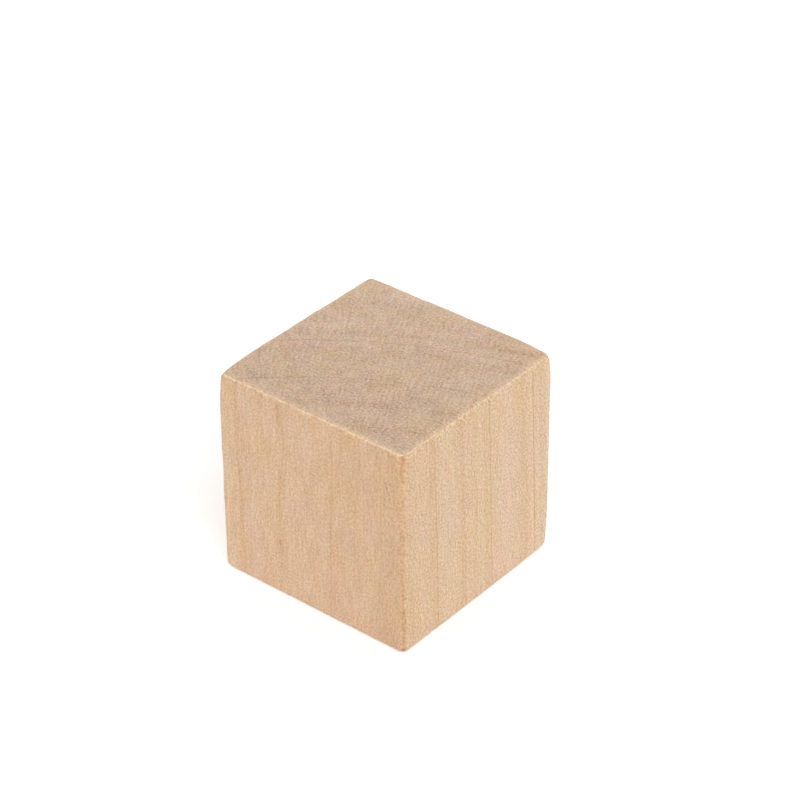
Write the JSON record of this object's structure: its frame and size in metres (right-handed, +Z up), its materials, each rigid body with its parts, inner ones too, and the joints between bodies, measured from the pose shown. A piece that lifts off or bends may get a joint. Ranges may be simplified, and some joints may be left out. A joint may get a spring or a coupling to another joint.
{
  "type": "wooden cube",
  "caption": "Small solid hardwood cube with six flat faces, upright grain and lightly rounded edges and corners.",
  "frame": {"origin": "centre of the base face, on the surface that the cube stands on", "axes": "+Z up along the grain, with end grain on the top and base faces; +X and +Y square to two of the long-grain side faces"},
  "size_m": [0.02, 0.02, 0.02],
  "materials": {
    "hardwood": "bare, planed and sanded, matte"
  },
  "bodies": {
    "root": {"wooden_cube": "hardwood"}
  },
  "joints": []
}
